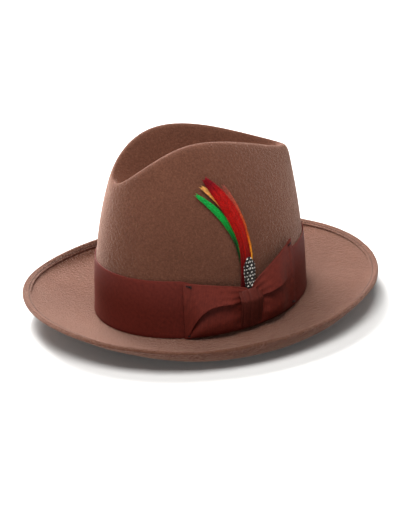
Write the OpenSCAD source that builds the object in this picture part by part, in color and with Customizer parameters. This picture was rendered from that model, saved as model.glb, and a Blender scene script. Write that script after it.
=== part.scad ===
// Fedora: a creased felt hat with a curled, welted brim, a wide ribbon with a flat bow and a
// spray of feathers tucked behind the bow's knot. It rests on its brim.
// Front is -Y, the wearer's left (the bow side) is +X, up is +Z, the table is z = 0.
// All lengths are millimetres. Angles run from the front round to the wearer's left.

/* [Crown] */
// Half width of the crown's outside at the brim, side to side
crown_half_w = 85; // [76:0.5:95]
// Half length of the crown's outside at the brim, front to back
crown_half_l = 103; // [93:0.5:114]
// Height of the crown's highest crest above the brim break
crown_h = 164; // [130:1:190]
// How much lower the crest is at the front and the back than at its peak
crest_drop = 31; // [10:1:45]
// Half width of the crest line, side to side
crest_half_w = 33.5; // [26:0.5:45]
// How far the crest line is fuller in front than behind
crest_front_bias = 0.4; // [0:0.05:0.5]
// Half length of the crest line in front
crest_half_front = 85; // [75:0.5:96]
// Half length of the crest line behind
crest_half_back = 94; // [84:0.5:104]
// How late the wall leans in toward the crest
wall_power = 2.3; // [1.5:0.1:3.5]

/* [Centre crease] */
// Height of the crease floor at the front above the brim break
crease_front_h = 122; // [95:1:150]
// Height of the crease floor at the back above the brim break
crease_back_h = 133; // [95:1:160]
// Half length of the crease floor in front
crease_front_l = 72; // [50:1:80]
// Half length of the crease floor behind
crease_back_l = 58; // [40:1:75]
// Half width of the crease floor
crease_half_w = 5; // [2:0.5:12]

/* [Brim] */
// Mean width of the brim from the crown to its edge
brim_w = 68; // [50:1:85]
// How much wider the brim is in front and behind than its mean
brim_oval = 3; // [0:0.5:8]
// Height of the curled edge above the brim break, mean
edge_h = 19.4; // [8:0.2:30]
// How much higher the edge is in front and behind than its mean
edge_wave = 3.7; // [0:0.1:8]
// Depth of the curl at the sides, from the edge down to the flat
curl_h = 12.7; // [6:0.1:20]
// Height of the brim break above the table
break_h = 5.6; // [4:0.1:16]
// How much the brim break drops in front and rises behind
break_tilt = 4; // [0:0.5:5]
// How much the brim break drops at the sides and rises in front and behind
break_saddle = 0.8; // [0:0.1:2]
// How far the brim sags between the break and the curl
brim_sag = 2.6; // [0:0.1:6]

// How the slope in front and behind steepens outward; 1 is straight
brim_dish = 1.35; // [1:0.05:2]

/* [Felt] */
// Thickness of the felt
felt_t = 2.4; // [1.6:0.1:4]
// Extra thickness of the felt folded over at the brim's edge
welt_t = 1.7; // [0.8:0.1:3]
// Thickness of the stitching thread on the welt
thread_t = 0.5; // [0.3:0.1:1]

/* [Ribbon] */
// Width of the crown ribbon
ribbon_w = 55; // [35:1:65]
// Thickness of the crown ribbon
ribbon_t = 0.9; // [0.5:0.1:1.5]
// Gap of the ribbon over the felt
ribbon_gap = 0.4; // [0.3:0.1:1]
// Height of the ribbon's lower edge above the brim break
ribbon_lift = 0.9; // [0.5:0.1:6]
// How much the ribbon's upper edge is drawn down under the knot
ribbon_dip = 17; // [0:1:25]

/* [Bow] */
// Angle at the middle of the knot
knot_at = 95; // [80:1:110]
// Width of the knot
knot_w = 19; // [14:0.5:30]
// Height of the knot
knot_h = 38; // [25:1:48]
// Height of the knot's lower edge above the brim break
knot_lift = 3; // [2:0.5:10]
// Length of the front wing from the knot's middle
wing_front_l = 54; // [35:1:65]
// Length of the back wing from the knot's middle
wing_back_l = 52; // [35:1:65]
// Height of the front wing's end
wing_front_h = 54; // [35:1:60]
// Height of the back wing's end
wing_back_h = 62; // [35:1:70]
// Height of a wing where it enters the knot
wing_neck_h = 36; // [20:1:46]
// Thickness of a wing, two layers and the air between
wing_t = 2.2; // [1.2:0.1:4]
// Depth of the pocket left for the quills behind the bow
pocket_t = 3; // [2.2:0.1:5]
// Thickness of the knot's wrap
knot_t = 2.6; // [1.5:0.1:4]

/* [Feathers] */
// Length of the red hackle above the knot
red_l = 107; // [70:1:115]
// Width of the red hackle
red_w = 14; // [6:0.5:16]
// Length of the orange hackle above the knot
orange_l = 101; // [60:1:110]
// Length of the green hackle above the knot
green_l = 97; // [50:1:110]
// Length of the golden hackle above the knot
gold_l = 94; // [50:1:100]
// Length of the spotted feather above the knot
spotted_l = 27; // [15:1:40]
// Width of the spotted feather
spotted_w = 10.5; // [6:0.5:16]
// Length of the quills behind the knot
quill_l = 31; // [20:1:36]
// Thickness of a quill
quill_t = 1; // [0.6:0.1:1.4]

/* [Inside] */
// Height of the leather sweatband
sweatband_h = 36; // [25:1:45]
// Thickness of the sweatband leather
sweatband_t = 1.1; // [0.6:0.1:2]
// Diameter of the reed at the sweatband's lower edge
reed_d = 2.2; // [1.5:0.1:3]
// Height above the brim break where the lining's side meets its tip
lining_h = 100; // [80:1:112]
// Thickness of the satin lining
lining_t = 0.5; // [0.3:0.1:1]
// Diameter of the cord in the lining's seam
piping_d = 1.8; // [1:0.1:3]
// Gap between neighbouring layers inside
layer_gap = 0.35; // [0.3:0.05:0.8]

/* [Hidden] */
columns = 60;
step_u = 360 / columns;
eps = 0.01;

function at(u) = ((u % 360) + 360) % 360;
function break_z(u) = break_h - break_tilt * cos(u) + break_saddle * cos(2 * u);
function edge_out(u) = brim_w - 1.5 * cos(u) + brim_oval * cos(2 * u);
function edge_z(u) = break_h + edge_h - 0.3 * cos(u) + edge_wave * cos(2 * u) + 1.6 * cos(3 * u);
function oval(u, out, z) = [(crown_half_w + out) * sin(u), -(crown_half_l + out) * cos(u), z];
function crest_z(u) = break_h + crown_h - crest_drop / 2 * (1 + cos(2 * u)) + 0.4 * cos(u)
    - 4 * cos(3 * u);
function crest(u) = [
    crest_half_w * sin(u) * (1 + crest_front_bias * cos(u)),
    -(cos(u) > 0 ? crest_half_front : crest_half_back) * cos(u),
    crest_z(u)];
function floor_z(u) = break_h + crease_front_h
    + (crease_back_h - crease_front_h) * (1 - cos(u)) / 2;
function floor_at(u) = [
    crease_half_w * sin(u),
    -(cos(u) > 0 ? crease_front_l : crease_back_l) * cos(u),
    floor_z(u)];
function mixed(a, b, f) = a * (1 - f) + b * f;
function flat_of(p, z) = [p[0], p[1], z];

// The crown wall at a share t of its height.
function wall_t(u, t) = flat_of(
    mixed(oval(u, 0, 0), crest(u), pow(max(t, 0), wall_power)),
    mixed(break_z(u), crest_z(u), t));
function outward(u) = let (n = [sin(u) / crown_half_w, -cos(u) / crown_half_l, 0]) n / norm(n);
function wall_normal(u, t) = let (
    n = cross(wall_t(u + 1, t) - wall_t(u - 1, t), wall_t(u, t + 0.01) - wall_t(u, t - 0.01)))
    n / norm(n);
// A point over the crown wall near height z, moved off the felt's face.
function wall(u, z, out) = let (t = (z - break_z(u)) / (crest_z(u) - break_z(u)))
    wall_t(u, t) + wall_normal(u, t) * out;

// Share of the curl at u: whole at the sides, none in front and behind.
function curled(u) = pow(sin(u), 2);
// The plain slope of the brim in front and behind, at a distance out from the break.
function slope(u, out) = oval(u, out, break_z(u)
    + (edge_z(u) - 1.2 - break_z(u)) * pow(out / edge_out(u), brim_dish));
// A point of the curled brim mixed with one of the plain slope.
function brim_at(u, slope_out, out, z) = mixed(slope(u, slope_out), oval(u, out, z), curled(u));
// The brim from the break (f = 0) to the start of the curl (f = 1).
function brim(u, f) = let (reach = edge_out(u) - 8, top = edge_z(u) - curl_h)
    brim_at(u, reach * f, reach * f, break_z(u) + (top - break_z(u)) * f * f
        - brim_sag * 4 * f * (1 - f) * (0.7 - 0.3 * cos(2 * u) - 0.35 * cos(u)));
// The crease from the crest (f = 0) to its floor (f = 1).
function crease(u, f, h, lift) = flat_of(
    mixed(crest(u), floor_at(u), f),
    mixed(floor_z(u), crest_z(u), h) + lift);

// Control point that makes the smooth curve pass through the wall.
function wall_c(u, t, h) = wall_t(u, t)
    - (wall_t(u, t + h) - 2 * wall_t(u, t) + wall_t(u, t - h)) / 6;

// Control points of the hat's upper face, from the brim's edge in and up to the crease.
function controls(u) = let (e = edge_out(u), z = edge_z(u), b = break_z(u)) [
    brim_at(u, e - 1, e - 3, z), brim_at(u, e - 5.5, e - 3.4, z - 4),
    brim_at(u, e - 10.5, e - 5.2, z - 9), brim_at(u, e - 15, e - 10, z - curl_h), brim(u, 0.78), brim(u, 0.5), brim(u, 0.24),
    oval(u, 3, b), oval(u, 0.1, b + 0.4), oval(u, 0, b + 5),
    wall_c(u, 0.2, 0.2), wall_c(u, 0.42, 0.22), wall_c(u, 0.63, 0.2), wall_c(u, 0.8, 0.13),
    wall_c(u, 0.91, 0.08),
    wall_t(u, 0.97) + [0, 0, 1], crease(u, 0.1, 1, 2.6), crease(u, 0.24, 0.93, 1),
    crease(u, 0.5, 0.5, 0), crease(u, 0.78, 0.08, 0), crease(u, 1, 0, 0)];

// Smooth curve through control points, two samples to a span.
function blend3(c, i, t) = let (s = 1 - t)
    (c[i] * s * s * s + c[i + 1] * (3 * t * t * t - 6 * t * t + 4)
    + c[i + 2] * (3 * s * s * s - 6 * s * s + 4) + c[i + 3] * t * t * t) / 6;
function smooth_line(c, per) = let (
    m = len(c),
    d = concat([2 * c[0] - c[1]], c, [2 * c[m - 1] - c[m - 2]]))
    concat(
        [for (i = [0:m - 2]) for (k = [0:per - 1]) blend3(d, i, k / per)],
        [blend3(d, m - 2, 1)]);

skin = [for (i = [0:columns - 1]) smooth_line(controls(i * step_u), 2)];
rows = len(skin[0]);
function skin_at(i, k) = skin[(i + columns) % columns][max(0, min(rows - 1, k))];
function skin_n(i, k) = let (
    n = cross(skin_at(i + 1, k) - skin_at(i - 1, k), skin_at(i, k + 1) - skin_at(i, k - 1)))
    n / norm(n);
welt_rows = 3;

// One closed outline of the felt at column i: upper face in, crease, under face out, edge.
function felt_outline(i) = concat(
    [for (k = [0:welt_rows]) skin_at(i, k) + skin_n(i, k) * welt_t],
    [for (k = [welt_rows:rows - 1]) skin_at(i, k)],
    [for (k = [rows - 1:-1:0]) skin_at(i, k) - skin_n(i, k) * felt_t],
    [skin_at(i, 0) + skin_n(i, 0) * (welt_t - felt_t) / 2
        + mixed(outward(i * step_u), [0, 0, 1], curled(i * step_u)) * 1.3]);

// Closed skin over rings of points; ring i joins ring i + 1, the last joins the first.
module loop_solid(rings) {
    m = len(rings);
    n = len(rings[0]);
    polyhedron(
        points = [for (r = rings) each r],
        faces = [for (i = [0:m - 1]) for (k = [0:n - 1]) each let (
            j = (i + 1) % m,
            l = (k + 1) % n)
            [[i * n + k, j * n + k, j * n + l], [i * n + k, j * n + l, i * n + l]]],
        convexity = 8);
}

// Solid over rings of points with both ends closed.
module run_solid(rings) {
    m = len(rings);
    n = len(rings[0]);
    polyhedron(
        points = [for (r = rings) each r],
        faces = concat(
            [for (i = [0:m - 2]) for (k = [0:n - 1]) each let (l = (k + 1) % n)
                [[i * n + k, (i + 1) * n + k, (i + 1) * n + l],
                 [i * n + k, (i + 1) * n + l, i * n + l]]],
            [for (k = [1:n - 2]) [0, k, k + 1]],
            [for (k = [1:n - 2]) [(m - 1) * n, (m - 1) * n + k + 1, (m - 1) * n + k]]),
        convexity = 6);
}

// Band round the crown between two heights and two distances from the wall.
module crown_band(low, high, inner, outer, levels) {
    loop_solid([for (i = [0:columns - 1]) let (u = -i * step_u) concat(
        [for (k = [0:levels]) wall(u, break_z(u) + mixed(low, high, k / levels), outer)],
        [for (k = [levels:-1:0]) wall(u, break_z(u) + mixed(low, high, k / levels), inner)])]);
}

// Round cord round the crown at one height and distance.
module crown_cord(height, out, d, sides) {
    loop_solid([for (i = [0:columns - 1]) let (u = -i * step_u)
        [for (k = [0:sides - 1]) let (a = 360 * k / sides)
            wall(u, break_z(u) + height + d / 2 * sin(a), out + d / 2 * cos(a))]]);
}

// Thin leaf over the crown wall. Stations are [angle, height, half width, low, high].
module wall_leaf(stations, along) {
    run_solid([for (s = stations) along
        ? [wall(s[0] - s[2], s[1], (s[3] + s[4]) / 2), wall(s[0], s[1], s[3]),
           wall(s[0] + s[2], s[1], (s[3] + s[4]) / 2), wall(s[0], s[1], s[4])]
        : [wall(s[0], s[1] - s[2], s[3]), wall(s[0], s[1], s[3]), wall(s[0], s[1] + s[2], s[3]),
           wall(s[0], s[1] + s[2], s[4]), wall(s[0], s[1], s[4]), wall(s[0], s[1] - s[2], s[4])]]);
}
// Angle on the bow side that spans a length of ribbon.
deg = 180 / PI / (crown_half_l * 0.33 + crown_half_w * 0.67);

// Felt capeline: crown, centre crease and brim in one piece, its edge folded over as a welt.
module felt_body() {
    outline = [for (i = [0:columns - 1]) felt_outline(i)];
    n = len(outline[0]);
    last_top = welt_rows + 1 + rows - welt_rows - 1;
    half = columns / 2;
    open_rows = [for (k = [0:n - 1]) if (k != last_top) k];
    color("#7a5244")
    polyhedron(
        points = [for (r = outline) each r],
        faces = concat(
            [for (i = [0:columns - 1]) for (k = open_rows) each let (
                j = (i + 1) % columns,
                l = (k + 1) % n)
                [[i * n + k, j * n + l, j * n + k], [i * n + k, i * n + l, j * n + l]]],
            [for (i = [0:half - 1]) each let (
                a = i * n + last_top,
                b = (i + 1) * n + last_top,
                c = (columns - i - 1) * n + last_top,
                d = ((columns - i) % columns) * n + last_top)
                concat(
                    i == half - 1 ? [] : [[a, c, b]],
                    i == 0 ? [] : [[a, d, c]])],
            [for (i = [0:half - 1]) each let (
                a = i * n + last_top + 1,
                b = (i + 1) * n + last_top + 1,
                c = (columns - i - 1) * n + last_top + 1,
                d = ((columns - i) % columns) * n + last_top + 1)
                concat(
                    i == half - 1 ? [] : [[a, b, c]],
                    i == 0 ? [] : [[a, c, d]])]),
        convexity = 10);
}

// Thread laid round the welt, a little above its inner margin.
module welt_stitching() {
    color("#3a241c")
    loop_solid([for (i = [0:columns - 1]) let (
        c = skin_at(-i, 2) + skin_n(-i, 2) * (welt_t + thread_t * 0.9),
        n = skin_n(-i, 2),
        v = outward(-i * step_u),
        w = cross(v, n),
        t = cross(n, w / norm(w)))
        [for (k = [0:5]) c + n * thread_t / 2 * sin(60 * k) + t * thread_t / 2 * cos(60 * k)]]);
}

function eased(x) = let (c = max(0, min(1, x))) c * c * (3 - 2 * c);
// Height of the ribbon's upper edge; it is drawn down where the bow's wings cover it.
function ribbon_top(u) = ribbon_lift + ribbon_w
    - ribbon_dip * min(eased((u - knot_at + 37) / 26), eased((knot_at + 23 - u) / 18));
function ribbon_out(k) = ribbon_gap + 0.9 * pow(1 - k, 6);

module ribbon() {
    levels = 6;
    color("#4c2019")
    loop_solid([for (i = [0:columns - 1]) let (u = 360 - i * step_u, b = break_z(u)) concat(
        [for (k = [0:levels])
            wall(u, b + mixed(ribbon_lift, ribbon_top(u), k / levels),
                ribbon_out(k / levels) + ribbon_t)],
        [for (k = [levels:-1:0])
            wall(u, b + mixed(ribbon_lift, ribbon_top(u), k / levels),
                ribbon_out(k / levels))])]);
}

over = ribbon_gap + ribbon_t;
behind = over + pocket_t;
knot_z = break_z(knot_at) + knot_lift + knot_h / 2;
knot_half = knot_w / 2 * deg;

// Flat tab of ribbon behind the bow; it closes the pocket that holds the quills.
module bow_backing() {
    color("#45201a")
    wall_leaf([for (s = [-1:0.25:1]) [
        knot_at + s * (knot_half + 7 * deg), knot_z, wing_neck_h / 2 - 1,
        behind - 1.3 * pow(abs(s), 4), behind + 0.7 - 1.3 * pow(abs(s), 4)]], false);
}

// One wing of the bow: a flat folded loop, narrow at the knot and wide at its end.
module bow_wing(side, reach, end_h, end_z) {
    near = 1.5;
    wall_leaf([for (s = [0:0.125:1]) let (f = pow(s, 0.9)) [
        knot_at + side * deg * mixed(near, reach, s),
        mixed(knot_z, end_z, f),
        mixed(wing_neck_h, end_h, f) / 2,
        mixed(behind + 1, over + 0.9, pow(s, 1.6)),
        mixed(behind + 1, over + 0.9, pow(s, 1.6)) + wing_t
            + 1.4 * sin(180 * min(1, s * 1.1))]], false);
}

module bow_wing_front() {
    u = knot_at - wing_front_l * deg;
    color("#572820")
    bow_wing(-1, wing_front_l, wing_front_h, break_z(u) + ribbon_lift + 27);
}

module bow_wing_back() {
    u = knot_at + wing_back_l * deg;
    color("#52251d")
    bow_wing(1, wing_back_l, wing_back_h, break_z(u) + ribbon_lift + 34);
}

// Wrap over the bow's middle.
module bow_knot() {
    low = behind + 1 + wing_t + 0.9;
    color("#4a1e18")
    wall_leaf([for (s = [-1:0.25:1]) [
        knot_at + s * knot_half, knot_z, knot_h / 2 - 0.6 * pow(abs(s), 3), low,
        low + knot_t * (1 - 0.35 * pow(abs(s), 3))]], false);
}

// Thread tacks that hold the corners of the bow.
module tack(u, z, out) {
    wall_leaf([for (s = [-1, 0, 1]) [
        u + s * 0.5, z, 1.1 - 0.4 * abs(s), out, out + 0.7]], false);
}

module bow_tacks() {
    uf = knot_at - (wing_front_l - 1.6) * deg;
    ub = knot_at + (wing_back_l - 1.6) * deg;
    zf = break_z(uf) + ribbon_lift + 27;
    zb = break_z(ub) + ribbon_lift + 34;
    top = over + wing_t + 1.5;
    color("#1d0d0a") {
        tack(uf, zf + wing_front_h / 2 - 2.6, top);
        tack(uf, zf - wing_front_h / 2 + 2.6, top);
        tack(ub, zb + wing_back_h / 2 - 2.6, top);
        tack(ub, zb - wing_back_h / 2 + 2.6, top);
    }
}

// Feathers. All quills gather in the pocket behind the knot and fan out above it.
mouth = knot_z + knot_h / 2;
quill_low = mouth - quill_l;
rest_out = over + 1.05;
feather_at = knot_at - 1.5;
// Stations of a feather; turn is how far its tip leans to the front, w its half width.
function plume(slot, out, reach, w, turn, lead) = concat(
    quill(slot),
    [for (s = [0.1:0.15:1]) [
        feather_at + slot * 1.35 * deg - (turn * pow(s, 2.6) - lead * sin(180 * s)) * deg,
        mouth + reach * s * (1 - 0.1 * s * turn / 30),
        deg * (s < 0.11 ? 0.5 : max(0.25, w / 2 * pow(sin(180 * pow(0.98 * s, 0.8)), 0.7))),
        out + 0.004 * reach * s, out + 0.7 + 0.004 * reach * s]]);
function quill(slot) = [for (s = [0:0.2:1]) [
    feather_at + slot * 1.35 * deg, mixed(quill_low, mouth - 1, s), 0.55 * deg,
    rest_out, rest_out + quill_t]];

module feather_red() {
    color("#b30f12")
    wall_leaf(plume(0, 2.9, red_l, red_w, 24, 4), true);
}

module feather_orange() {
    color("#d9731c")
    wall_leaf(plume(-1, 1.9, orange_l, 7, 23, 3), true);
}

module feather_green() {
    color("#1f8a3c")
    wall_leaf(plume(-2, 0.9, green_l, 6.5, 31, 3), true);
}

module feather_gold() {
    color("#b5622c")
    wall_leaf(plume(1, 3.9, gold_l, 4.5, 7, 5), true);
}

module feather_spotted() {
    color("#191512")
    wall_leaf(concat(quill(2), [for (s = [0.25:0.15:1]) [
        feather_at + (2.7 + 1.5 * s) * deg, mouth + spotted_l * s,
        deg * spotted_w / 2 * max(0.2, pow(sin(180 * pow(0.92 * s, 1.1)), 0.5)), 4.9, 5.7]]),
        true);
}

// Thread and tape round the gathered quills, hidden in the pocket.
module quill_binding() {
    low = quill_low + 4;
    color("#3c2a22")
    for (part = [0, 1])
        wall_leaf([for (s = [-1:0.5:1]) [
            feather_at + (0.35 + 4.4 * s) * deg, low + 6, 6,
            rest_out + (part == 0 ? -0.4 : quill_t + 0.06),
            rest_out + (part == 0 ? -0.06 : quill_t + 0.4)]], false);
}

// Inside of the crown.
inside = -felt_t;
module sweatband() {
    far = inside - 2 * layer_gap - lining_t - 0.3;
    color("#6d4a38")
    crown_band(1.8, 1.8 + sweatband_h, far - sweatband_t, far, 5);
}

module sweatband_reed() {
    color("#a98f74")
    crown_cord(0.3, inside - 2 * layer_gap - lining_t - 0.3 - sweatband_t / 2, reed_d, 8);
}

module sweatband_stitching() {
    color("#c8b498")
    crown_cord(4.2, inside - 2 * layer_gap - lining_t - 0.3 - sweatband_t - thread_t / 2 - 0.05,
        thread_t, 6);
}

// Small bow sewn over the sweatband's back seam.
module sweatband_bow() {
    far = inside - 2 * layer_gap - lining_t - 0.3 - sweatband_t - 0.35;
    z = break_z(180) + 9;
    color("#2c1c18") {
        wall_leaf([for (s = [-1:0.25:1]) [
            180 + s * 6.5, z, 1.2 + 2.6 * abs(s), far - 1, far]], false);
        wall_leaf([for (s = [-1:0.5:1]) [
            180 + s * 1.1, z, 2, far - 2, far - 1.02]], false);
    }
}

module lining_side() {
    far = inside - layer_gap;
    color("#6a2a2a")
    crown_band(18, lining_h, far - lining_t, far, 8);
}

// One oval ring of the lining's tip, domed a little toward its middle.
function tip_ring(f, far, drop) = [for (i = [0:columns - 1]) let (
    u = -i * step_u,
    p = wall(u, break_z(u) + lining_h, far))
    [p[0] * f, p[1] * f, p[2] + 5 * (1 - f * f) - drop]];

module lining_tip() {
    far = inside - layer_gap - lining_t - 0.4;
    shares = [1, 0.85, 0.65, 0.4, 0.12];
    color("#7a3232")
    run_solid(concat(
        [for (k = [len(shares) - 1:-1:0]) tip_ring(shares[k], far, lining_t)],
        [for (f = shares) tip_ring(f, far, 0)]));
}

module lining_piping() {
    color("#3b1616")
    crown_cord(lining_h - 0.8 - piping_d / 2 - lining_t,
        inside - layer_gap - lining_t - 0.3 - piping_d / 2, piping_d, 6);
}

// Plain paper size label tucked behind the sweatband.
module size_label() {
    far = inside - layer_gap - lining_t - 0.3 - layer_gap * 0.3;
    color("#e8e2d4")
    wall_leaf([for (s = [-1:0.5:1]) [
        150 + s * 6, break_z(150) + 42, 6, inside - layer_gap - lining_t - 0.65,
        inside - layer_gap - lining_t - 0.35]], false);
}

felt_body();
welt_stitching();
ribbon();
bow_backing();
bow_wing_front();
bow_wing_back();
bow_knot();
bow_tacks();
feather_red();
feather_orange();
feather_green();
feather_gold();
feather_spotted();
quill_binding();
sweatband();
sweatband_reed();
sweatband_stitching();
sweatband_bow();
lining_side();
lining_tip();
lining_piping();
size_label();
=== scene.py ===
# %% [markdown]
# # A felt fedora with a bow and feathers
# A fedora is one cone of wool felt, steamed over a block until it has a crown and a brim. The
# crown is creased by hand, the brim's edge is folded over and sewn, and a wide ribbon covers the
# corner where crown and brim meet. The measured model of the hat is loaded first and never
# changed; everything below is made in its place, in metres, to stand on it.

# %% Load the measured hat
import math
import random

import bpy
from mathutils import Matrix, Vector


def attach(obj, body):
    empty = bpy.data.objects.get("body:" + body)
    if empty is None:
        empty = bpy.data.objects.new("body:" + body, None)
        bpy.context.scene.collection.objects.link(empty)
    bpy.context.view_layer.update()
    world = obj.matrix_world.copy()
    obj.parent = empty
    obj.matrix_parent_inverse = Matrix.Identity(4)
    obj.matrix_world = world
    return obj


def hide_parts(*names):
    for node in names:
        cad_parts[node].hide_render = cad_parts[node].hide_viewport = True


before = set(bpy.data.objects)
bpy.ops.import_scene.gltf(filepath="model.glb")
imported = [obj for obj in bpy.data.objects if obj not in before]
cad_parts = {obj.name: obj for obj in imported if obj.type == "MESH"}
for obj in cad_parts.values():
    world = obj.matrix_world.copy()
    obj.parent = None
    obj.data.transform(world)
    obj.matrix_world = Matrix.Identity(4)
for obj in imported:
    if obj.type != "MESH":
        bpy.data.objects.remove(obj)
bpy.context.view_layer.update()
MM = 0.001
random.seed(7)

# %% [markdown]
# ## The shape under the trimmings
# Ribbon, bow and feathers all lie on the crown's wall. They are made flat, as they come off the
# roll, and then laid on the wall, so the wall is needed as a rule: give it an angle round the
# crown, a height and a distance off the felt, and it gives the place in space. The rule is the one
# that the measured model was drawn with. Angles run from the front round to the wearer's left.

# %% The crown wall as a rule
CROWN_W, CROWN_L, CROWN_H, CREST_DROP = 85.0, 103.0, 164.0, 31.0
CREST_W, CREST_BIAS, CREST_FRONT, CREST_BACK, LEAN = 33.5, 0.4, 85.0, 94.0, 2.3
BREAK_H, BREAK_TILT, BREAK_SADDLE = 5.6, 4.0, 0.8
FELT_T = 2.4


def break_z(u):
    return BREAK_H - BREAK_TILT * math.cos(u) + BREAK_SADDLE * math.cos(2 * u)


def crest_point(u):
    c, s = math.cos(u), math.sin(u)
    z = BREAK_H + CROWN_H - CREST_DROP / 2 * (1 + math.cos(2 * u)) + 0.4 * c
    back = CREST_FRONT if c > 0 else CREST_BACK
    return Vector((CREST_W * s * (1 + CREST_BIAS * c), -back * c, z - 4 * math.cos(3 * u)))


def wall_share(u, t):
    foot = Vector((CROWN_W * math.sin(u), -CROWN_L * math.cos(u), 0))
    top = crest_point(u)
    p = foot.lerp(top, max(t, 0) ** LEAN)
    p.z = break_z(u) * (1 - t) + top.z * t
    return p


def wall(angle, z, out):
    """Place in millimetres at an angle in degrees, a height and a distance off the felt."""
    u = math.radians(angle)
    t = (z - break_z(u)) / (crest_point(u).z - break_z(u))
    d = math.radians(1)
    across = wall_share(u + d, t) - wall_share(u - d, t)
    up = wall_share(u, t + 0.01) - wall_share(u, t - 0.01)
    return wall_share(u, t) + across.cross(up).normalized() * out


def break_at(angle):
    return break_z(math.radians(angle))


def eased(x):
    x = min(1, max(0, x))
    return x * x * (3 - 2 * x)


DEG = 180 / math.pi / (CROWN_L * 0.33 + CROWN_W * 0.67)
KNOT = 95.0
print("one millimetre of ribbon by the bow is", round(DEG, 3), "degrees")

# %% [markdown]
# ## Small tools of the workshop
# Blender's operators act on whatever is selected, so each new piece starts from an empty
# selection. A finished piece has no modifiers left and lies at the origin with its place in its
# mesh. `lay` moves the points of a flat piece to where a rule puts them, which is how a ribbon is
# laid on a hat.


# %% Tools
def clear():
    bpy.ops.object.select_all(action="DESELECT")


def only(obj):
    clear()
    obj.select_set(True)
    bpy.context.view_layer.objects.active = obj
    return obj


def started(name):
    obj = bpy.context.object
    obj.name = obj.data.name = name
    return obj


def settle(obj):
    """Apply the object's place and every modifier."""
    only(obj)
    bpy.ops.object.transform_apply(location=True, rotation=True, scale=True)
    for m in list(obj.modifiers):
        bpy.ops.object.modifier_apply(modifier=m.name)
    return obj


def flat_cloth(name, cuts_x, cuts_y):
    """A flat grid one metre square with a UV map from 0 to 1."""
    clear()
    bpy.ops.mesh.primitive_grid_add(x_subdivisions=cuts_x, y_subdivisions=cuts_y, size=1)
    return started(name)


def lay(obj, rule, width=1.0, height=1.0):
    """Move each point (0..1 along, 0..1 across) to the rule's place; UVs become millimetres."""
    uv = obj.data.uv_layers.active.data
    for d in uv:
        d.uv = (d.uv[0] * width, d.uv[1] * height)
    for v in obj.data.vertices:
        x, y = (min(1, max(0, c + 0.5)) for c in v.co[:2])
        v.co = rule(x, y) * MM
    return obj


def outward(obj):
    """Turn every face to the outside, after merging doubles."""
    only(obj)
    bpy.ops.object.mode_set(mode="EDIT")
    bpy.ops.mesh.select_all(action="SELECT")
    bpy.ops.mesh.remove_doubles(threshold=1e-6)
    bpy.ops.mesh.normals_make_consistent(inside=False)
    bpy.ops.object.mode_set(mode="OBJECT")
    return obj


def thicken(obj, mm, offset=0.0, round_mm=0.0):
    m = obj.modifiers.new("thickness", "SOLIDIFY")
    m.thickness, m.offset = mm * MM, offset
    if round_mm:
        b = obj.modifiers.new("edge", "BEVEL")
        b.width, b.segments, b.limit_method = round_mm * MM, 2, "ANGLE"
        b.angle_limit = math.radians(50)
    settle(obj)
    return obj


def smooth(obj, angle=60):
    only(obj)
    bpy.ops.object.shade_smooth_by_angle(angle=math.radians(angle))
    return obj


print("tools ready")

# %% [markdown]
# ## Materials
# Colours are written as sRGB hex and turned to linear light by one function. Every pattern is
# sized in millimetres from the real thing. A value that is the same all over sits on the shader's
# own socket.


# %% Colour and node helpers
def tint(code):
    parts = [int(code[i : i + 2], 16) / 255 for i in (1, 3, 5)]
    return tuple(c / 12.92 if c < 0.04045 else ((c + 0.055) / 1.055) ** 2.4 for c in parts) + (1,)


def add(tree, kind, inputs=None, stops=(), **settings):
    """Add a node. inputs holds sockets to link or values to set, by an input's name or number.
    settings are its own properties or its inputs' names; stops are a ramp's places and colours."""
    node = tree.nodes.new("ShaderNode" + kind)
    for key, value in settings.items():
        if hasattr(node, key):
            setattr(node, key, value)
        else:
            node.inputs[key.replace("_", " ")].default_value = value
    for key, value in (inputs or {}).items():
        if isinstance(value, bpy.types.NodeSocket):
            tree.links.new(value, node.inputs[key])
        else:
            node.inputs[key].default_value = value
    if stops:
        band = node.color_ramp.elements
        while len(band) < len(stops):
            band.new(0.5)
        for e, (at, code) in zip(band, stops):
            e.position, e.color = at, tint(code)
    return node


def new_finish(name, **values):
    mat = bpy.data.materials.new(name)
    mat.use_nodes = True
    tree = mat.node_tree
    shader = tree.nodes["Principled BSDF"]
    for key, value in values.items():
        shader.inputs[key.replace("_", " ")].default_value = value
    return mat, tree, shader


def bands(mm):
    """Scale of a wave texture whose stripes are mm apart."""
    return 2 * math.pi / 20 / mm


def wear(obj, mat):
    obj.data.materials.clear()
    obj.data.materials.append(mat)
    return obj


print("helpers ready")

# %% [markdown]
# ### Wool felt
# Felt is wool beaten and steamed until its fibres lock. It has no weave: up close it is a mat of
# curling fibres about a quarter of a millimetre apart, a little cloudy in colour because dyed and
# undyed wool never mix evenly. Loose fibre ends stand up and catch light at grazing angles, which
# is the pale bloom along a hat's edges. That bloom is the shader's sheen. The fibres are drawn
# about four times too coarse, or a render would not show them. The brim is pounced less than the
# crown, so its grain is left deeper. Noise scales are counts in a metre: 900 is a fibre every
# 1.1 mm, 560 a tuft every 1.8 mm, 400 the brim's grain every 2.5 mm and 16 a cloud 60 mm across.


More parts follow.
